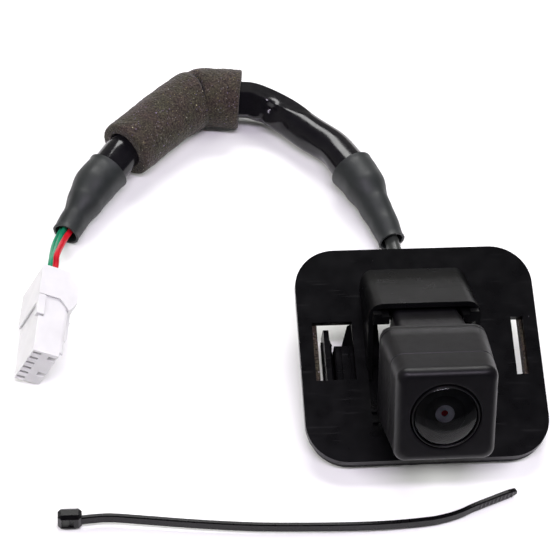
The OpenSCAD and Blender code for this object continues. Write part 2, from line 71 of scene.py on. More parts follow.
# camera block, with its heights along the lens axis, from its front face
LOOK = 49
CAMERA = BRACKET @ shift(0, -24.8, 22.7) @ turn(LOOK, "X")
SEAM_Z = -19.2
FLANGE_Z = -21.2
INNER_PLUG_Z = -22.9
NECK_WALL_Z = -34.2
NECK_Z = -35.6
GROMMET_Z = -41.6
LENS_HOLE_R = 7.65
RING_R = 7.35
BARREL_R = 6.3
GLASS_FOOT_Z = -1.6

# connector
PLUG = shift(-55.6, 32.1, 8.86) @ turn(-7.3, "Z") @ turn(4.6, "X") @ turn(22.3, "Y")
WAYS = 6
WAY_X = -0.75
PITCH = 2.15

# cable tie
HEAD_L, HEAD_T, HEAD_W = 5.2, 3.0, 4.8
STRAP_W, STRAP_T = 2.5, 1.0
TIE_DIP = 0.65
TIE = shift(-55, -28.3, HEAD_L * math.sin(math.radians(TIE_DIP))) @ turn(TIE_DIP, "Y")
TIE_ROUTE = [(4.6, -0.5), (8, -0.2), (12, -0.2), (20, -1.2), (31, -2.6), (44, -3.8), (60, -4.4), (71, -4.4),
             (80, -3.8), (84, -3.1), (87.5, -2), (91, -0.4), (100.6, 3.4)]

# the lead: its diameters and routes, and where the foam sleeve sits on the sheath's route
CABLE_D = 3.4
SHEATH_D = 8.8
WIRE_D = 1.4
SHEATH_ROUTE = [(20.5, 65, 5.5), (17.5, 71.5, 5.3), (14.5, 77, 5.1), (9.4, 82, 5.2), (3.2, 88, 5.8),
                (-3.6, 91.8, 6.8), (-7.4, 92.2, 7.25), (-13, 93, 7.25), (-18.3, 93.1, 7.25),
                (-23.3, 89.2, 7.25), (-30.3, 82.2, 7.25), (-36.7, 75.7, 7.2), (-39.5, 72.2, 6.6),
                (-42, 69, 5.9), (-44.5, 65.5, 5.4)]
FOAM_SPAN = slice(6, 12)
CABLE_BENDS = [(27.5, 18.5, 6.4), (27.4, 23, 4.6), (27.3, 29, 3.4), (27.1, 36, 3), (26.8, 42, 3.1),
               (26, 48, 3.6), (24.6, 53, 4.2), (23.2, 57.5, 4.6)]
BOOT_FRONT = [(26.2, 47, 3.5), (25, 51.5, 4), (23.2, 57.5, 4.6), (20.5, 65, 5.5), (18.6, 69, 5.6)]
BOOT_FRONT_R = [3.1, 3.6, 4.2, 5.35, 5.5]
BOOT_REAR = [(-41, 70.2, 6), (-44.5, 65.5, 5.4), (-47.5, 60, 4.7), (-49.6, 56, 4.1), (-51.7, 52, 3.7)]
BOOT_REAR_R = [5.2, 5.3, 4.5, 3.5, 3.2]
WIRE_BENDS = {
    "wire_red": (0, [(-45.5, 61.5, 5.7), (-47.9, 57, 5.2), (-50.3, 52.5, 4.7), (-51.8, 48.5, 6.2)]),
    "wire_green_upper": (1, [(-46.9, 62.2, 5.5), (-49.3, 57.7, 5), (-51.7, 53.2, 4.5), (-53.2, 48.6, 5.1)]),
    "wire_green_lower": (2, [(-47.8, 62.7, 4.3), (-50.2, 58.2, 3.8), (-52.6, 53.7, 3.3), (-54.5, 48.6, 3.3)]),
}


# ---------------------------------------------------------------- node trees
def linear(code):
    """Linear colour of an sRGB hex code."""
    values = [int(code[i:i + 2], 16) / 255 for i in (1, 3, 5)]
    return [v / 12.92 if v <= 0.04045 else ((v + 0.055) / 1.055) ** 2.4 for v in values] + [1.0]


BLACK = [0, 0, 0, 1]
WHITE = [1, 1, 1, 1]


class Graph:
    """The node tree of a world or a material, with short ways to add to it."""

    def __init__(self, owner, coordinates="Object"):
        owner.use_nodes = True
        self.nodes = owner.node_tree.nodes
        self.links = owner.node_tree.links
        self.place = self.nodes.new("ShaderNodeTexCoord").outputs[coordinates]

    def add(self, kind, **settings):
        node = self.nodes.new(kind)
        for key, value in settings.items():
            setattr(node, key, value)
        return node

    def noise(self, size, detail=2.0, stretch=None):
        """Noise whose features are about size metres across, or stretched and slanted."""
        node = self.add("ShaderNodeTexNoise")
        node.inputs["Scale"].default_value = 1 / size
        node.inputs["Detail"].default_value = detail
        place = self.place
        if stretch is not None:
            mapping = self.add("ShaderNodeMapping")
            mapping.inputs["Scale"].default_value = stretch
            mapping.inputs["Rotation"].default_value = (0.3, 0.2, 0.5)
            self.links.new(place, mapping.inputs["Vector"])
            place = mapping.outputs["Vector"]
        self.links.new(place, node.inputs["Vector"])
        return node.outputs["Fac"]

    def cells(self, size, feature="F1"):
        """Cells about size metres across."""
        node = self.add("ShaderNodeTexVoronoi", feature=feature)
        node.inputs["Scale"].default_value = 1 / size
        self.links.new(self.place, node.inputs["Vector"])
        return node

    def ramp(self, value, stops):
        """Colour from (position, colour) stops."""
        node = self.add("ShaderNodeValToRGB")
        elements = node.color_ramp.elements
        while len(elements) < len(stops):
            elements.new(0.5)
        for element, (position, colour) in zip(elements, stops):
            element.position = position
            element.color = colour
        self.links.new(value, node.inputs["Fac"])
        return node.outputs["Color"]

    def span(self, value, low, high, start=0.3, end=0.7):
        """Value from start to end, turned into one from low to high."""
        node = self.add("ShaderNodeMapRange")
        node.inputs["From Min"].default_value = start
        node.inputs["From Max"].default_value = end
        node.inputs["To Min"].default_value = low
        node.inputs["To Max"].default_value = high
        self.links.new(value, node.inputs["Value"])
        return node.outputs["Result"]

    def mix(self, factor, a, b):
        """Colour between socket a and b, which is a socket or a plain colour."""
        node = self.add("ShaderNodeMix", data_type="RGBA")
        self.links.new(factor, node.inputs["Factor"])
        self.links.new(a, node.inputs["A"])
        if isinstance(b, list):
            node.inputs["B"].default_value = b
        else:
            self.links.new(b, node.inputs["B"])
        return node.outputs["Result"]

    def product(self, a, b, factor=1.0):
        """Colour a multiplied by colour b."""
        node = self.add("ShaderNodeMix", data_type="RGBA", blend_type="MULTIPLY")
        node.inputs["Factor"].default_value = factor
        self.links.new(a, node.inputs["A"])
        self.links.new(b, node.inputs["B"])
        return node.outputs["Result"]

    def bump(self, height, depth, under=None):
        """Normal of a relief that is depth metres high, over another one if under is given."""
        node = self.add("ShaderNodeBump")
        node.inputs["Distance"].default_value = depth
        node.inputs["Strength"].default_value = 1.0
        self.links.new(height, node.inputs["Height"])
        if under is not None:
            self.links.new(under, node.inputs["Normal"])
        return node.outputs["Normal"]


class Surface(Graph):
    """A material, with its shader."""

    def __init__(self, name):
        self.material = bpy.data.materials.new(name)
        super().__init__(self.material)
        self.shader = self.nodes["Principled BSDF"]


# ---------------------------------------------------------------- camera, floor and light
def aim(location, right, up):
    """Matrix of a camera at a place, from its own right and up directions."""
    right, up = Vector(right).normalized(), Vector(up).normalized()
    back = right.cross(up)
    columns = Matrix((right, up, back)).transposed().to_4x4()
    return Matrix.Translation(location) @ columns


def make_camera():
    place = (-0.0491, -0.28783, 0.38963)
    right, up = (0.99538, -0.08134, 0.05093), (0.02926, 0.76271, 0.64608)
    data = bpy.data.cameras.new("view")
    data.lens = 140.5
    data.sensor_width = 36
    data.clip_start = 0.02
    camera = bpy.data.objects.new("view", data)
    camera.matrix_world = aim(place, right, up)
    scene.collection.objects.link(camera)
    scene.camera = camera


def softbox(name, place, target, size, watts, tint, mirrored=True):
    """Rectangular light; one that isn't mirrored lights the object but doesn't show in its gloss."""
    data = bpy.data.lights.new(name, "AREA")
    data.shape = "RECTANGLE"
    data.size, data.size_y = size
    data.energy = watts
    data.color = tint
    light = bpy.data.objects.new(name, data)
    ahead = (Vector(target) - Vector(place)).normalized()
    light.visible_glossy = mirrored
    light.matrix_world = Matrix.Translation(place) @ ahead.to_track_quat("-Z", "Y").to_matrix().to_4x4()
    scene.collection.objects.link(light)


def make_lights():
    """Soft light from both sides and from behind, a tinted strip overhead and a faint fill in front."""
    middle = (0, 0.03, 0.01)
    softbox("left_softbox", (-0.62, -0.06, 0.46), middle, (0.5, 0.5), 3.4, (1.0, 1.0, 0.97), False)
    softbox("right_softbox", (0.62, 0.0, 0.46), middle, (0.5, 0.5), 4.2, (1.0, 1.0, 1.0), False)
    softbox("top_softbox", (0.0, -0.2, 0.6), middle, (0.4, 0.07), 2.4, (0.91, 0.83, 1.0))
    softbox("back_softbox", (0.04, 0.50, 0.55), middle, (0.5, 0.22), 3.8, (0.98, 0.98, 0.97))
    softbox("front_softbox", (0.1, -0.6, 0.6), middle, (0.5, 0.2), 0.25, (0.97, 0.97, 1.0), False)


def make_world():
    """Dim room: olive grey behind the object and to its left, dark in front of it and overhead."""
    scene.world = bpy.data.worlds.new("room")
    g = Graph(scene.world, "Generated")
    toward = g.add("ShaderNodeVectorMath", operation="DOT_PRODUCT")
    toward.inputs[1].default_value = (-0.55, 0.84, 0)
    g.links.new(g.place, toward.inputs[0])
    level = g.ramp(g.span(toward.outputs["Value"], 0.0, 1.0, -0.7, 0.8),
                   [(0.0, [0.03, 0.03, 0.035, 1]), (1.0, [0.44, 0.43, 0.39, 1])])
    split = g.add("ShaderNodeSeparateXYZ")
    g.links.new(g.place, split.inputs[0])
    height = g.ramp(split.outputs["Z"], [(0.0, WHITE), (0.8, [0.1, 0.1, 0.12, 1])])
    background = g.nodes["Background"]
    g.links.new(g.product(level, height), background.inputs["Color"])
    background.inputs["Strength"].default_value = 1.0


def make_floor():
    """Flat floor, a hair below the object so that nothing flickers against it."""
    mesh = bpy.data.meshes.new("floor")
    half = 1.6
    mesh.from_pydata([(-half, -half, 0), (half, -half, 0), (half, half, 0), (-half, half, 0)], [],
                     [(0, 1, 2, 3)])
    floor = bpy.data.objects.new("floor", mesh)
    scene.collection.objects.link(floor)
    floor.location.z = -0.05 * MM
    mesh.materials.append(floor_paper())


# ---------------------------------------------------------------- materials
def material(name, light, dark, roughness, spread, patch, grain, depth, **inputs):
    """Moulded or extruded stuff: two close colours in patches, uneven gloss and a fine grain.
    patch is in metres, grain in millimetres and depth, the grain's height, in metres."""
    g = Surface(name)
    colour = g.ramp(g.noise(patch, 3.0), [(0.3, linear(dark)), (0.7, linear(light))])
    g.links.new(colour, g.shader.inputs["Base Color"])
    g.links.new(g.span(g.noise(patch / 4), roughness - spread, roughness + spread),
                g.shader.inputs["Roughness"])
    waves = g.bump(g.noise(14 * MM, 1.0), 60e-6)
    g.links.new(g.bump(g.noise(grain * MM, 2.0), depth, under=waves), g.shader.inputs["Normal"])
    for key, value in inputs.items():
        g.shader.inputs[key.replace("_", " ")].default_value = value
    return g.material


def dusty_plastic():
    """Satin black plastic with dust, hair scratches and faint flow lines."""
    g = Surface("bracket_plastic")
    base = g.ramp(g.noise(9 * MM, 3.0), [(0.3, linear("#040405")), (0.7, linear("#070708"))])
    specks = g.cells(1.6 * MM)
    speck = g.ramp(specks.outputs["Distance"], [(0.03, WHITE), (0.06, BLACK)])
    chosen = g.ramp(g.noise(5 * MM, 0.0), [(0.6, BLACK), (0.66, WHITE)])
    g.links.new(g.mix(g.product(speck, chosen), base, linear("#6c6d70")), g.shader.inputs["Base Color"])
    hairs = g.noise(0.5 * MM, 1.0, stretch=(0.06, 1.0, 1.0))
    scratched = g.span(hairs, 0.0, 0.16, 0.66, 0.74)
    add = g.add("ShaderNodeMath", operation="ADD")
    g.links.new(g.span(g.noise(4 * MM), 0.26, 0.34), add.inputs[0])
    g.links.new(scratched, add.inputs[1])
    g.links.new(add.outputs[0], g.shader.inputs["Roughness"])
    waves = g.bump(g.noise(11 * MM, 1.0), 90e-6)
    g.links.new(g.bump(g.noise(0.25 * MM, 2.0), 2e-6, under=waves), g.shader.inputs["Normal"])
    g.shader.inputs["Specular IOR Level"].default_value = 0.16
    return g.material


def floor_paper():
    """Matt white paper round the object, with painted shade: it turns grey at a distance from its middle, as
    light falls off across a studio.
    """
    middle, white_r, grey_r = (0, 0.09, 0), 0.168, 0.18
    g = Surface("floor_paper")
    distance = g.add("ShaderNodeVectorMath", operation="DISTANCE")
    distance.inputs[1].default_value = middle
    g.links.new(g.place, distance.inputs[0])
    near = g.ramp(g.noise(0.05, 3.0), [(0.3, linear("#f4f4f3")), (0.7, linear("#f8f8f7"))])
    painted_falloff = g.ramp(g.span(distance.outputs["Value"], 0.0, 1.0, white_r, grey_r),
                  [(0.0, BLACK), (1.0, WHITE)])
    g.links.new(g.mix(painted_falloff, near, linear("#868688")), g.shader.inputs["Base Color"])
    g.links.new(g.span(g.noise(0.02), 0.6, 0.7), g.shader.inputs["Roughness"])
    g.links.new(g.bump(g.noise(0.4 * MM, 2.0), 8e-6), g.shader.inputs["Normal"])
    g.shader.inputs["Specular IOR Level"].default_value = 0.15
    return g.material


def textured_housing():
    """Charcoal plastic with the fine, even texture of a spark-eroded mould."""
    g = Surface("housing_plastic")
    base = g.ramp(g.noise(6 * MM, 3.0), [(0.3, linear("#0a090b")), (0.7, linear("#0e0d10"))])
    g.links.new(base, g.shader.inputs["Base Color"])
    g.links.new(g.span(g.noise(2 * MM), 0.35, 0.43), g.shader.inputs["Roughness"])
    coarse = g.bump(g.cells(0.16 * MM, "SMOOTH_F1").outputs["Distance"], 9e-6)
    g.links.new(g.bump(g.noise(0.07 * MM, 2.0), 4e-6, under=coarse), g.shader.inputs["Normal"])
    g.shader.inputs["Specular IOR Level"].default_value = 0.24
    return g.material


def open_cell_foam(name, light, dark):
    """Foam: fine pores over olive and purplish patches, with painted shade in the pores and painted glints on
    a few cell walls.
    """
    g = Surface(name)
    grain = g.noise(0.42 * MM, 4.0)
    base = g.ramp(grain, [(0.34, linear(dark)), (0.66, linear(light))])
    patches = g.ramp(g.noise(5 * MM, 2.0), [(0.35, linear("#fff0f6")), (0.65, linear("#f3ffe6"))])
    pores = g.cells(0.62 * MM).outputs["Distance"]
    # painted shade: the bottom of each pore is darker
    shade = g.ramp(pores, [(0.08, [0.1, 0.1, 0.1, 1]), (0.4, WHITE)])
    colour = g.product(g.product(base, patches), shade, 0.6)
    # painted highlights: small dim glints first, then larger bright ones, as light colours in the base
    # colour; they are glossier too, so their real gloss shows
    for size, rarity, inner, outer, hues in (
            (0.34, 0.9, 0.1, 0.5, ("#83794f", "#7f7d79", "#70608a")),
            (0.85, 0.92, 0.05, 0.24, ("#b9ae78", "#b2b1ae", "#9a82bd"))):
        walls = g.cells(size * MM)
        pick = g.add("ShaderNodeSeparateColor")
        g.links.new(walls.outputs["Color"], pick.inputs[0])
        near = g.ramp(walls.outputs["Distance"], [(inner, WHITE), (outer, BLACK)])
        rare = g.ramp(pick.outputs[0], [(rarity, BLACK), (rarity + 0.03, WHITE)])
        glints = g.product(near, rare)
        tint = g.ramp(pick.outputs[1], [(0.0, linear(hues[0])), (0.3, linear(hues[1])),
                                        (0.6, linear(hues[2])), (1.0, linear(hues[0]))])
        colour = g.mix(glints, colour, tint)
    g.links.new(colour, g.shader.inputs["Base Color"])
    g.links.new(g.span(glints, 0.95, 0.45, 0, 1), g.shader.inputs["Roughness"])
    rough = g.bump(grain, 0.16 * MM)
    g.links.new(g.bump(pores, 0.14 * MM, under=rough), g.shader.inputs["Normal"])
    g.shader.inputs["Specular IOR Level"].default_value = 0.3
    g.shader.inputs["Sheen Weight"].default_value = 0.12
    return g.material


def clear_glass(name, light, dark, refraction=1.27):
    """Polished glass with a faint smear in its gloss; a low index stands for its dulling coating."""
    g = Surface(name)
    g.links.new(g.ramp(g.noise(4 * MM), [(0.3, linear(dark)), (0.7, linear(light))]),
                g.shader.inputs["Base Color"])
    g.links.new(g.span(g.noise(2 * MM), 0.002, 0.012), g.shader.inputs["Roughness"])
    g.shader.inputs["Transmission Weight"].default_value = 1.0
    g.shader.inputs["IOR"].default_value = refraction
    return g.material


def make_materials():
    """One material for each slot of the record. After two colours, material() takes the roughness and its
    spread, and then the patch, the grain and the grain's depth."""
    return {
        "bracket_plastic": dusty_plastic(),
        "housing_plastic": textured_housing(),
        "gasket_foam": open_cell_foam("gasket_foam", "#5c5349", "#17120f"),
        "sleeve_foam": open_cell_foam("sleeve_foam", "#463f37", "#1e1818"),
        "lens_glass": clear_glass("lens_glass", "#9c9da2", "#8f9096"),
        # opaque, because only a spot of its red shows through the pupil
        # painted reflection: the opaque red stands in for the red that the middle lens's coating reflects,
        # and only a spot of it shows through the pupil; its gloss is real
        "inner_glass": material("inner_glass", "#a31a2a", "#6e101d", 0.08, 0.02, 0.001, 0.1, 1e-6),
        "filter_glass": clear_glass("filter_glass", "#f08a9c", "#d0506a"),
        # thin film on the gasket, with the foam's look where its edge shows
        "adhesive_film": open_cell_foam("adhesive_film", "#544b42", "#110d0b"),
        "seal_rubber": material("seal_rubber", "#17181a", "#101113", 0.62, 0.05, 0.003, 0.12, 5e-6),
        "screw_steel": material("screw_steel", "#c9c9ca", "#a5a5a7", 0.3, 0.06, 0.002, 0.08, 2e-6,
                                Metallic=1.0),
        "ring_plastic": material("ring_plastic", "#060607", "#030304", 0.34, 0.06, 0.003, 0.1, 3e-6,
                                 Specular_IOR_Level=0.3),
        "stop_grey": material("stop_grey", "#66656a", "#59585d", 0.5, 0.05, 0.002, 0.08, 2e-6),
        "sensor_face": material("sensor_face", "#4a2a2c", "#2c2022", 0.15, 0.04, 0.001, 0.05, 1e-6),
        "circuit_board": material("circuit_board", "#1c5b37", "#134628", 0.34, 0.05, 0.004, 0.2, 6e-6),
        "connector_plastic": material("connector_plastic", "#d3d2d3", "#c9c8c9", 0.42, 0.05, 0.005, 0.3, 5e-6,
                                      Specular_IOR_Level=0.3, Subsurface_Weight=0.5, Subsurface_Scale=0.0008,
                                      Subsurface_Radius=(1.0, 1.0, 1.0)),
        "grommet_rubber": material("grommet_rubber", "#131314", "#0c0c0d", 0.6, 0.05, 0.003, 0.15, 6e-6),
        "cable_jacket": material("cable_jacket", "#363836", "#2b2d2b", 0.36, 0.05, 0.005, 0.25, 6e-6),
        "heat_shrink": material("heat_shrink", "#222525", "#191c1c", 0.52, 0.06, 0.007, 0.18, 8e-6),
        "vinyl": material("vinyl", "#151417", "#0f0e11", 0.17, 0.04, 0.006, 0.4, 4e-6,
                          Specular_IOR_Level=0.34),
        "wire_green": material("wire_green", "#1d8a64", "#177c58", 0.45, 0.05, 0.004, 0.2, 4e-6,
                               Specular_IOR_Level=0.2),
        "wire_red": material("wire_red", "#b50d20", "#a50a1a", 0.45, 0.05, 0.004, 0.2, 4e-6,
                             Specular_IOR_Level=0.2),
        "terminal_metal": material("terminal_metal", "#c8b27c", "#a99258", 0.3, 0.06, 0.002, 0.1, 2e-6,
                                   Metallic=1.0),
        "tie_nylon": material("tie_nylon", "#0a090b", "#060507", 0.3, 0.05, 0.004, 0.2, 5e-6,
                              Specular_IOR_Level=0.24),
    }


# ---------------------------------------------------------------- mesh tools
NODE_SLOT = {row["node"]: row["material_slot"] for row in frame["record"]["subparts"]}
NODE_BODY = {node: body for body, nodes in frame["record"]["behaviour"]["bodies"].items() for node in nodes}


def finish_piece(piece, node, smooth_angle=40.0):
    """Shades, colours and places a piece that stands for a CAD node."""
    piece.data.shade_smooth()
    piece.data.set_sharp_from_angle(angle=math.radians(smooth_angle))
    piece.data.materials.clear()
    piece.data.materials.append(MATERIALS[NODE_SLOT[node]])
    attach(piece, NODE_BODY[node])
    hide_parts(node)
    return piece


def new_piece(name, points, faces, place=None):
    """Mesh object with its faces turned outward, moved to its place."""
    mesh = bpy.data.meshes.new(name)
    mesh.from_pydata([tuple(p) for p in points], [], faces)
    if place is not None:
        mesh.transform(place)
    bm = bmesh.new()
    bm.from_mesh(mesh)
    bmesh.ops.recalc_face_normals(bm, faces=bm.faces)
    bm.to_mesh(mesh)
    bm.free()
    piece = bpy.data.objects.new(name, mesh)
    scene.collection.objects.link(piece)
    return piece


def loft(name, rings, place=None, loop=False):
    """Skin over rings that have the same number of points; closed by end faces, or into a loop."""
    count = len(rings[0])
    points = [point for ring in rings for point in ring]
    faces = []
    last = len(rings) if loop else len(rings) - 1
    for i in range(last):
        a, b = i * count, (i + 1) % len(rings) * count
        for k in range(count):
            n = (k + 1) % count
            faces.append((a + k, a + n, b + n, b + k))
    if not loop:
        faces.append(tuple(reversed(range(count))))
        faces.append(tuple(range((len(rings) - 1) * count, len(rings) * count)))
    return new_piece(name, points, faces, place)


def apply_modifiers(piece):
    """Turns what a piece's modifiers make into its own mesh."""
    bpy.context.view_layer.update()
    evaluated = piece.evaluated_get(bpy.context.evaluated_depsgraph_get())
    mesh = bpy.data.meshes.new_from_object(evaluated)
    piece.modifiers.clear()
    piece.data = mesh


def softened(node, width):
    """The CAD node's own shape with its edges rounded by width millimetres."""
    piece = bpy.data.objects.new(node + "_detail", frame["nodes"][node].data.copy())
    scene.collection.objects.link(piece)
    bm = bmesh.new()
    bm.from_mesh(piece.data)
    bmesh.ops.remove_doubles(bm, verts=bm.verts, dist=0.002 * MM)
    bm.to_mesh(piece.data)
    bm.free()
    bevel = piece.modifiers.new("edges", "BEVEL")
    bevel.width = width * MM
    bevel.segments = 3
    bevel.limit_method = "ANGLE"
    bevel.angle_limit = math.radians(28)
    bevel.miter_outer = "MITER_ARC"
    bevel.use_clamp_overlap = True
    bevel.loop_slide = True
    weighted = piece.modifiers.new("flat_faces", "WEIGHTED_NORMAL")
    weighted.keep_sharp = True
    piece.data.shade_smooth()
    apply_modifiers(piece)
    return finish_piece(piece, node)


def curve_points(route, step):
    """Smooth curve through a route's points, in metres, with a point about every step millimetres."""
    points = [Vector(p) * MM for p in route]
    ends = [2 * points[0] - points[1]] + points + [2 * points[-1] - points[-2]]
    line = []
    for i in range(len(points) - 1):
        a, b, c, d = ends[i:i + 4]
        count = max(1, round((c - b).length / (step * MM)))
        for k in range(count):
            t = k / count
            line.append(0.5 * (2 * b + (c - a) * t + (2 * a - 5 * b + 4 * c - d) * t ** 2
                               + (3 * b - a - 3 * c + d) * t ** 3))
    line.append(points[-1])
    return line


def along(line):
    """How far along the line each of its points is, in millimetres."""
    run = [0.0]
    for a, b in zip(line, line[1:]):
        run.append(run[-1] + (b - a).length / MM)
    return run


def axes(line, i):
    """Directions to the side of and above a line at one of its points."""
    ahead = (line[min(i + 1, len(line) - 1)] - line[max(i - 1, 0)]).normalized()
    side = ahead.cross(Vector((0, 0, 1))).normalized()
    return side, side.cross(ahead)


def section(line, i, count, radius):
    """Ring round point i of a line; radius(angle) in millimetres, with 90 degrees on top."""
    side, up = axes(line, i)
    ring = []
    for k in range(count):
        angle = 2 * math.pi * k / count
        reach = radius(angle) * MM
        ring.append(line[i] + reach * (math.cos(angle) * side + math.sin(angle) * up))
    return ring


def blend_values(values, t):
    """Smooth value between the numbers of a list, with t from 0 to 1."""
    spot = min(max(t, 0.0), 1.0) * (len(values) - 1)
    i = min(int(spot), len(values) - 2)
    f = spot - i
    f = f * f * (3 - 2 * f)
    return values[i] * (1 - f) + values[i + 1] * f


def dent(run, angle, at, centre, depth, length, width):
    """How much a soft hollow takes off a tube's radius at run millimetres along it and an angle round it.
    The hollow's middle is at that many millimetres and centre degrees; width is in degrees too."""
    off = (math.degrees(angle) - centre + 180) % 360 - 180
    return depth * math.exp(-((run - at) / length) ** 2 - (off / width) ** 2)


def circle(radius, z):
    """Ring of points round the z axis, in metres, from a radius and a height in millimetres."""
    count = 128
    angles = [2 * math.pi * k / count for k in range(count)]
    return [Vector((radius * math.cos(t), radius * math.sin(t), z)) * MM for t in angles]


def lathe(name, profile, place):
    """Turned ring from a closed (radius, height) outline in millimetres, with its corners rounded."""
    soften = 0.05
    outline = []
    for i, point in enumerate(profile):
        before, after = Vector(profile[i - 1]), Vector(profile[(i + 1) % len(profile)])
        corner = Vector(point)
        trim = min(soften, (before - corner).length * 0.4, (after - corner).length * 0.4)
        a = corner + (before - corner).normalized() * trim
        b = corner + (after - corner).normalized() * trim
        outline += [a, 0.25 * a + 0.5 * corner + 0.25 * b, b]
    return loft(name, [circle(radius, z) for radius, z in outline], place, loop=True)


def box_outline(half_w, half_h, corner, angle):
    """Distance from the middle to the edge of a round-cornered rectangle in one direction."""
    c, s = abs(math.cos(angle)), abs(math.sin(angle))
    flat_w, flat_h = half_w - corner, half_h - corner
    if c * flat_h >= s * half_w:
        return half_w / c
    if s * flat_w >= c * half_h:
        return half_h / s
    along_it = c * flat_w + s * flat_h
    return along_it + math.sqrt(along_it ** 2 - flat_w ** 2 - flat_h ** 2 + corner ** 2)


def box_ring(z, half_w, half_h, corner, centre=(0, 0), count=192):
    """Ring of points in the shape of a round-cornered rectangle, in metres, from millimetres."""
    ring = []
    for k in range(count):
        angle = 2 * math.pi * k / count
        reach = box_outline(half_w, half_h, corner, angle)
        x, y = centre[0] + reach * math.cos(angle), centre[1] + reach * math.sin(angle)
        ring.append(Vector((x, y, z)) * MM)
    return ring


def square_ring(z, half, corner):
    """Ring of the camera block, which sits a little to one side of the lens axis."""
    return box_ring(z, half, half, corner, (0.2, 0))


def round_ring(z, radius):
    """Circle with the same number of points as the block's other rings."""
    return box_ring(z, radius, radius, radius)


# ---------------------------------------------------------------- the lead
def make_cable():
    """Round cable from its plug inside the camera, through the grommet and into the front tube."""
    inside = [CAMERA @ Vector((0, 0, z * MM)) / MM for z in (INNER_PLUG_Z, -29, -35, GROMMET_Z)]
    line = curve_points(inside + CABLE_BENDS, 0.9)
    rings = [section(line, i, 32, lambda angle: CABLE_D / 2) for i in range(len(line))]
    cable = finish_piece(loft("camera_cable_jacket", rings), "camera_cable")
    return cable, line


def faceted(angle, facets):
    """Radius of a soft-cornered polygon: (facing angle, distance) pairs, in degrees and millimetres."""
    power = 50
    total = 0.0
    for facing, distance in facets:
        total += max(0.0, math.cos(angle - math.radians(facing)) / distance) ** power
    return total ** (-1 / power)


def make_sheath():
    """Soft vinyl tube, creased flat beside the foam and dented where it has been folded for packing."""
    line = curve_points(SHEATH_ROUTE, 0.4)
    run = along(line)
    size = SHEATH_D / 2
    pressed = [(146, 3.7), (80, 3.9), (20, 4.15), (215, 4.25), (325, 4.2), (270, 4.3)]
    crease_at, crease_l, foam_at = 25.0, 4.0, 60.0
    # each is a dent: at, centre, depth, length and width
    kinks = [(33.6, 205, 1.0, 1.2, 36), (32.0, 128, 0.9, 1.6, 24), (27.5, 165, 0.55, 2.6, 30),
             (20.5, 160, 0.45, 4.0, 26), (12.0, 195, 0.5, 4.5, 26), (88.0, 60, 0.4, 4.0, 40)]

    def radius(i, angle):
        squash = 1 + 0.045 * math.cos(2 * angle)
        lean = 3.5 * math.cos(angle - math.radians(200))
        flat = min(1.0, max(0.0, (run[i] - crease_at - lean) / crease_l)) if run[i] < foam_at else 0.0
        flat *= flat * (3 - 2 * flat)
        dents = sum(dent(run[i], angle, *kink) for kink in kinks)
        ripple = 0.025 * noise.noise(Vector((run[i] * 0.25, math.cos(angle) * 1.3, math.sin(angle) * 1.3)))
        return size * squash * (1 - flat) + faceted(angle, pressed) * flat - dents + ripple

    rings = [section(line, i, 96, lambda angle, i=i: radius(i, angle)) for i in range(len(line))]
    sheath = finish_piece(loft("vinyl_sheath_tube", rings), "vinyl_sheath", 25)
    return sheath, line


def make_wires():
    """Insulated wires from the rear tube to their ways in the connector."""
    wires = {}
    for node, (way, bends) in WIRE_BENDS.items():
        z = ((WAYS - 1) / 2 - way) * PITCH
        ends = [PLUG @ (Vector((WAY_X, y, z)) * MM) / MM for y in (5, 2, -5)]
        line = curve_points(bends + ends, 0.6)
        rings = [section(line, i, 24, lambda angle: WIRE_D / 2) for i in range(len(line))]
        wires[node] = (finish_piece(loft(node + "_insulation", rings), node), line)
    return wires


def make_boot(node, route, radii, folds):
    """Heat-shrink tubing: an outer skin, rolled rims and an inner wall, over what it grips. Each fold is a
    dent: at, centre, depth, length and width."""
    wall = 0.55
    line = curve_points(route, 0.35)
    run = along(line)
    total = run[-1]

    def radius(i, angle, inset):
        base = blend_values(radii, run[i] / total)
        dents = sum(dent(run[i], angle, *fold) for fold in folds)
        wrinkle = 0.045 * noise.noise(Vector((run[i] * 0.35, math.cos(angle) * 1.8, math.sin(angle) * 1.8)))
        rim = 0.18 * math.exp(-(run[i] / 0.7) ** 2) + 0.12 * math.exp(-((total - run[i]) / 0.7) ** 2)
        return base - dents + wrinkle + rim - inset

    last = len(line) - 1
    order = [(i, 0.0) for i in range(last + 1)] + [(last, wall / 2)]
    order += [(i, wall) for i in range(last, -1, -1)] + [(0, wall / 2)]
    rings = [section(line, i, 80, lambda angle, i=i, inset=inset: radius(i, angle, inset))
             for i, inset in order]
    return finish_piece(loft(node + "_tubing", rings, loop=True), node, 60)


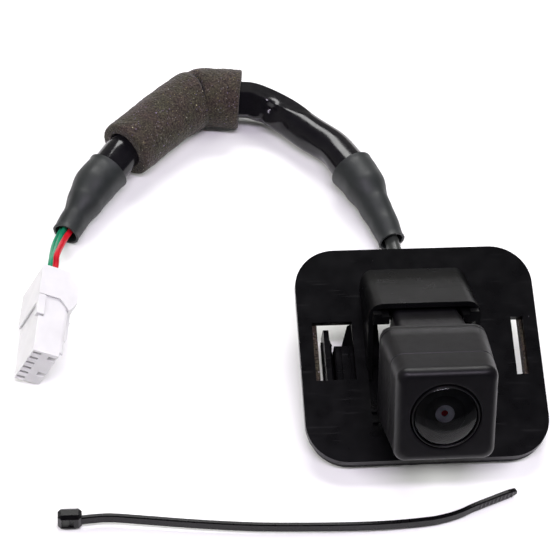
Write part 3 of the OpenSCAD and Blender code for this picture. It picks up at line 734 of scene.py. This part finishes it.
def make_foam_sleeve():
    """Thick foam tube with a pinched crease where it bends and ragged, soft ends."""
    line = curve_points(SHEATH_ROUTE[FOAM_SPAN], 0.32)
    run = along(line)
    total = run[-1]
    outer_r, bore_r = 7.15, 4.6
    crease, shade_half = 10.5, 0.3
    octaves = ((0.16, 0.35), (0.09, 1.4), (0.05, 4.0))
    bend_side = math.radians(200)
    pinch_side = math.radians(150)

    def off_fold(i, angle):
        return abs(run[i] - crease + 0.7 * math.cos(2 * (angle - math.radians(130))))

    def outer(i, angle):
        inner_side = max(0.0, math.cos(angle - bend_side))
        facing = max(0.0, math.cos(angle - pinch_side))
        pinch = (0.4 + 1.4 * facing + 0.5 * inner_side) * math.exp(-(off_fold(i, angle) / 0.55) ** 1.5)
        bulge = 0.45 * inner_side * math.exp(-((run[i] - crease - 3) / 4.5) ** 2)
        flare = 0.35 * math.exp(-(run[i] / 7.0) ** 2)
        spot = line[i] / MM + Vector((math.cos(angle), math.sin(angle), run[i] * 0.1)) * 6.5
        lumps = sum(height * noise.noise(spot * pace) for height, pace in octaves)
        edge = min(run[i], total - run[i])
        worn = 0.3 * math.exp(-(edge / 0.3) ** 2)
        return outer_r - pinch + bulge + flare + lumps - worn

    def bore(i, angle):
        return bore_r + 0.35 * math.cos(angle) + 0.06 * noise.noise(Vector((run[i], angle, 3)))

    def rim(i, angle, t):
        return outer(i, angle) * (1 - t) + bore(i, angle) * t

    last = len(line) - 1
    count = 110
    rings = []
    for i in range(last + 1):
        rings.append(section(line, i, count, lambda angle, i=i: outer(i, angle)))
    for t in (0.35, 0.7, 1.0):
        rings.append(section(line, last, count, lambda angle, t=t: rim(last, angle, t)))
    for i in range(last, -1, -3):
        rings.append(section(line, i, count, lambda angle, i=i: bore(i, angle)))
    for t in (1.0, 0.7, 0.35):
        rings.append(section(line, 0, count, lambda angle, t=t: rim(0, angle, t)))
    # it is pressed flat where it rests on the table
    for ring in rings:
        for point in ring:
            point.z = max(point.z, 0.0)
    foam = finish_piece(loft("foam_sleeve_tube", rings, loop=True), "foam_sleeve", 70)
    # painted shade: the bottom of the crease gets a darker foam, as little light reaches it
    foam.data.materials.append(open_cell_foam("sleeve_crease_shade", "#1c1816", "#0b0808"))
    for i in range(last):
        for k in range(count):
            angle = 2 * math.pi * k / count
            if off_fold(i, angle) < shade_half and math.cos(angle - pinch_side) > 0.15:
                foam.data.polygons[i * count + k].material_index = 1
    return foam


# ---------------------------------------------------------------- the camera
def make_front_housing():
    """Drafted block with an elliptical front fillet, a parting line and a counterbored lens hole."""
    half_front, half_rear, half_cavity = 11.0, 11.75, 9.3
    fillet_w, fillet_d = 1.8, 2.3
    ring_seat_z, wall_z = -3, -4.2

    def half_at(z):
        return half_front + (half_rear - half_front) * (-fillet_d - z) / (-fillet_d - SEAM_Z)

    rings = [square_ring(SEAM_Z, half_rear - 0.2, 2.9), square_ring(SEAM_Z + 0.06, half_rear - 0.06, 3),
             square_ring(SEAM_Z + 0.2, half_rear, 3)]
    for z in (-16, -12, -9):
        rings.append(square_ring(z, half_at(z), 2.95))
    for z, groove in ((-8.22, 0), (-8.12, 0.14), (-8.04, 0.16), (-7.92, 0.02)):
        rings.append(square_ring(z, half_at(z) - groove, 2.9 - groove))
    for z in (-6, -3.5):
        rings.append(square_ring(z, half_at(z), 2.85))
    steps = 12
    for i in range(steps + 1):
        t = math.pi / 2 * i / steps
        half = half_front - fillet_w * (1 - math.cos(t))
        rings.append(square_ring(-fillet_d + fillet_d * math.sin(t), half, 2.8 - 0.8 * math.sin(t)))
    # the flat face turns from square to round on its way to the lens hole
    rings += [box_ring(0, 8.6, 8.6, 4.8), box_ring(0, 8.2, 8.2, 8.0)]
    rings += [round_ring(0, LENS_HOLE_R + 0.2), round_ring(-0.05, LENS_HOLE_R + 0.07),
              round_ring(-0.18, LENS_HOLE_R), round_ring(ring_seat_z, LENS_HOLE_R),
              round_ring(ring_seat_z, BARREL_R + 0.1), round_ring(wall_z, BARREL_R + 0.1),
              square_ring(wall_z, half_cavity, 5), square_ring(SEAM_Z, half_cavity, 5)]
    shell = loft("camera_front_housing_shell", rings, CAMERA, loop=True)
    return finish_piece(shell, "camera_front_housing", 30)


def make_rear_housing():
    """Flange behind the seam and the hollow neck that carries the lead."""
    half = 11.75
    rings = [square_ring(SEAM_Z, half - 0.25, 2.9), square_ring(SEAM_Z - 0.08, half - 0.08, 3),
             square_ring(SEAM_Z - 0.24, half, 3), square_ring(FLANGE_Z + 0.5, half, 3),
             square_ring(FLANGE_Z + 0.14, half - 0.16, 2.9), square_ring(FLANGE_Z, half - 0.55, 2.7)]
    # the neck's middle and its half sizes where it leaves the flange, and the cavity in it
    middle = (0.3, 2.05)
    half_w, half_h = 8.0, 9.33
    cavity = (6.3, 6.5, 1.2, (0, 1.6))
    bore_r = 2.9
    rings += [box_ring(FLANGE_Z, half_w + 0.5, half_h + 0.52, 2.0, (0.25, 1.6)),
              box_ring(FLANGE_Z - 0.15, half_w + 0.12, half_h + 0.12, 1.7, middle),
              box_ring(FLANGE_Z - 0.5, half_w, half_h, 1.6, middle)]
    for t in (0.3, 0.6, 0.9):
        z = FLANGE_Z + (NECK_Z - FLANGE_Z) * t
        rings.append(box_ring(z, half_w - 0.7 * t, half_h - 1.13 * t, 1.6, middle))
    rings += [box_ring(NECK_Z + 0.5, 7.3, 8.2, 1.6, middle), box_ring(NECK_Z + 0.13, 7.17, 8.07, 1.5, middle),
              box_ring(NECK_Z, 6.8, 7.7, 1.3, middle)]
    rings += [round_ring(NECK_Z, bore_r + 0.3), round_ring(NECK_Z + 0.2, bore_r),
              round_ring(NECK_WALL_Z, bore_r)]
    rings += [box_ring(z, *cavity) for z in (NECK_WALL_Z, SEAM_Z - 0.8, SEAM_Z - 0.1)]
    shell = loft("camera_rear_housing_shell", rings, CAMERA, loop=True)
    return finish_piece(shell, "camera_rear_housing", 32)


def make_lens():
    """Turned parts of the lens, from (radius, height) outlines."""
    profiles = {
        "lens_retaining_ring": [(6.85, GLASS_FOOT_Z), (RING_R, GLASS_FOOT_Z), (RING_R, 0.05), (7.25, 0.24),
                                (7.1, 0.28), (6.95, 0.2), (6.85, 0)],
        "lens_barrel": [(4.3, GLASS_FOOT_Z), (RING_R, GLASS_FOOT_Z), (RING_R, -2), (BARREL_R, -2),
                        (BARREL_R, -12.2), (2.4, -12.2), (2.4, -10.6), (3, -10.6), (3, -4.7), (4.3, -4.7)],
        "lens_baffle": [(1.9, -1.95), (4.25, -1.85), (4.25, -2.2), (1.9, -2.2)],
        "aperture_stop": [(0.7, -2.2), (4.25, -2.2), (4.25, -4.7), (3.3, -4.7), (3.3, -2.7), (0.7, -2.7)],
    }
    for node, profile in profiles.items():
        finish_piece(lathe(node + "_turned", profile, CAMERA), node, 30)


def make_lens_dome():
    """Glass bounded by two spheres, which stand 2 and 0.6 mm out of the block's face."""
    front_r, rear_r, steps = 12.5, 5.11, 40
    front_z, rear_z = 2 - front_r, 0.6 - rear_r
    front_edge, glass_r = 6.72, 6.8
    rear_edge = math.sqrt(rear_r ** 2 - (GLASS_FOOT_Z - rear_z) ** 2)
    outline = []
    for i in range(1, steps + 1):
        r = front_edge * i / steps
        outline.append((r, front_z + math.sqrt(front_r ** 2 - r * r)))
    outline += [(glass_r - 0.02, -0.02), (glass_r, -0.1), (glass_r, GLASS_FOOT_Z + 0.05),
                (glass_r - 0.05, GLASS_FOOT_Z)]
    for i in range(steps):
        r = rear_edge * (1 - i / steps)
        outline.append((r, rear_z + math.sqrt(rear_r ** 2 - r * r)))
    rings = [circle(radius, z) for radius, z in outline]
    glass = finish_piece(loft("lens_dome_glass", rings, CAMERA), "lens_dome", 30)
    glass.data.materials.append(MATERIALS["ring_plastic"])
    glass.data.materials.append(clear_glass("lens_rear_surface", "#ffffff", "#fafafa", 1.0))
    # the rim of the glass is blackened, and its rear surface is coated so that it doesn't glare
    upright = CAMERA.inverted()
    turned = upright.to_3x3()
    for face in glass.data.polygons:
        middle = upright @ face.center / MM
        radius = math.hypot(middle.x, middle.y)
        if middle.z < -0.05 and radius > rear_edge + 0.05:
            face.material_index = 1
        elif (turned @ face.normal).z < -0.1:
            face.material_index = 2


def make_gasket():
    """Foam ring behind the plate, with uneven, slightly swollen walls."""
    half_w, half_h, corner = GASKET_HALF_W, GASKET_HALF_H, 8.9
    top, bottom = -PLATE_T - ADHESIVE_T, -SKIN
    middle = (0.3, 0)
    count = 720
    # how far in from the outer wall, and how high between the bottom and the top
    profile = [(0.0, 0.0), (0.0, 0.25), (-0.12, 0.5), (0.0, 0.75), (0.1, 1.0), (1.2, 1.0), (2.4, 1.0),
               (3.5, 1.0), (3.62, 0.75), (3.72, 0.5), (3.62, 0.25), (3.6, 0.0), (2.4, 0.0), (1.2, 0.0)]
    rings = []
    for inset, level in profile:
        z = bottom + (top - bottom) * level
        ring = box_ring(z, half_w - inset, half_h - inset, corner - inset, middle, count)
        for k, point in enumerate(ring):
            spot = point / MM
            swell = 0.07 * noise.noise(spot * 1.1) + 0.05 * noise.noise(spot * 3.1)
            outward = Vector((spot.x, spot.y, 0)).normalized()
            lift = 0.05 * abs(noise.noise(spot * 2.3)) if level == 0.0 else 0.0
            ring[k] = point + (outward * (swell if 0 < level < 1 else 0.0) + Vector((0, 0, lift))) * MM
        rings.append(ring)
    foam = finish_piece(loft("foam_gasket_ring", rings, BRACKET, loop=True), "foam_gasket", 60)
    # painted shade: the outer wall, in shadow under the plate's edge, gets a darker foam
    skin = material("gasket_wall_shade", "#17151a", "#0d0c0f", 0.8, 0.05, 0.004, 0.3, 20e-6)
    foam.data.materials.append(skin)
    upright = BRACKET.inverted()
    for face in foam.data.polygons:
        spot = upright @ face.center / MM
        if abs(spot.x - middle[0]) > half_w - 0.3 or abs(spot.y) > half_h - 0.3 or spot.xy.length > 32:
            face.material_index = 1


# ---------------------------------------------------------------- the tie
def make_tie():
    """Strap swept along its gentle bends, grip ridges on the straight tail, and a chamfered head."""
    line = curve_points([(x, y, HEAD_W / 2) for x, y in TIE_ROUTE], 0.25)
    run = along(line)
    total = run[-1]
    half_t, half_w, corner = STRAP_T / 2, STRAP_W / 2, 0.22
    tip_l, ridges_from, ridges_to, ridge_pitch, ridge_h = 2.2, 1.0, 9.6, 1.0, 0.14
    count = 28
    rings = []
    for i in range(len(line)):
        left = total - run[i]
        tip = min(1.0, 0.35 + 0.65 * math.sqrt(min(1.0, left / tip_l)))
        ridged = ridges_from < left < ridges_to
        ridge = ridge_h * max(0.0, math.sin(2 * math.pi * run[i] / ridge_pitch)) if ridged else 0.0
        side, up = axes(line, i)
        ring = []
        for k in range(count):
            angle = 2 * math.pi * k / count
            reach = box_outline(half_t, half_w, corner, angle)
            across, tall = reach * math.cos(angle), reach * math.sin(angle) * tip
            if across > half_t * 0.9 and abs(tall) < half_w * 0.75:
                across += ridge
            ring.append(line[i] + (across * side + tall * up) * MM)
        rings.append(ring)
    strap = loft("cable_tie_strap", rings, TIE)
    join([strap, tie_head()], "cable_tie_moulding")
    finish_piece(strap, "cable_tie", 32)


def block(name, low, high, place, edge=0.0, segments=2):
    """Box between two corners in millimetres, its edges bevelled by edge: flat if segments is 1."""
    bm = bmesh.new()
    bmesh.ops.create_cube(bm, size=1.0)
    size = Vector(high) - Vector(low)
    centre = (Vector(high) + Vector(low)) / 2
    for vertex in bm.verts:
        vertex.co = (vertex.co * size + centre) * MM
    if edge:
        bmesh.ops.bevel(bm, geom=bm.edges[:], offset=edge * MM, segments=segments, profile=0.6,
                        affect="EDGES")
    mesh = bpy.data.meshes.new(name)
    bm.to_mesh(mesh)
    bm.free()
    mesh.transform(place)
    piece = bpy.data.objects.new(name, mesh)
    scene.collection.objects.link(piece)
    return piece


def cut(piece, tools):
    """Takes the tools' shapes out of a piece and deletes them."""
    for tool in tools:
        modifier = piece.modifiers.new("cut", "BOOLEAN")
        modifier.operation = "DIFFERENCE"
        modifier.solver = "EXACT"
        modifier.object = tool
    apply_modifiers(piece)
    for tool in tools:
        bpy.data.objects.remove(tool)


def join(pieces, name):
    """Makes the pieces one, which is the first of them under a new name."""
    bpy.ops.object.select_all(action="DESELECT")
    for piece in pieces:
        piece.select_set(True)
    bpy.context.view_layer.objects.active = pieces[0]
    bpy.ops.object.join()
    pieces[0].name = name


def tie_head():
    """Chamfered head with a way through it for the strap and a shallow mouth in front."""
    head = block("tie_head", (0, -HEAD_T / 2, 0), (HEAD_L, HEAD_T / 2, HEAD_W), TIE, 0.75, 1)
    tools = [block("way", (0.9, -HEAD_T, 1.0), (3.3, HEAD_T, 3.8), TIE),
             block("mouth", (0.75, -2.2, 0.95), (3.5, -1.2, 3.85), TIE, 0.1)]
    cut(head, tools)
    return head


# ---------------------------------------------------------------- build
MATERIALS = make_materials()
make_camera()
cable, cable_line = make_cable()
sheath, sheath_line = make_sheath()
wires = make_wires()
boot_front = make_boot("heat_shrink_front", BOOT_FRONT, BOOT_FRONT_R,
                       [(16.0, 200, 0.35, 4.0, 30), (11.0, 20, 0.35, 3.0, 26), (19.5, 60, 0.2, 2.0, 40)])
boot_rear = make_boot("heat_shrink_rear", BOOT_REAR, BOOT_REAR_R,
                      [(13.5, 30, 0.3, 2.6, 30), (16.0, 160, 0.25, 2.6, 36), (5.0, 210, 0.2, 3.0, 30)])
foam_sleeve = make_foam_sleeve()
make_floor()
make_world()
make_lights()
make_front_housing()
make_rear_housing()
make_lens()
make_lens_dome()
make_gasket()
make_tie()
for node, width in (("mounting_bracket", 0.2), ("snap_clip", 0.1), ("connector_housing", 0.22),
                    ("connector_retainer", 0.15), ("connector_latch", 0.18), ("tie_pawl", 0.08)):
    softened(node, width)
# the CAD nodes get their own slot's material too
for node, part in frame["nodes"].items():
    part.data.materials.clear()
    part.data.materials.append(MATERIALS[NODE_SLOT[node]])


scene.view_settings.view_transform = "Standard"
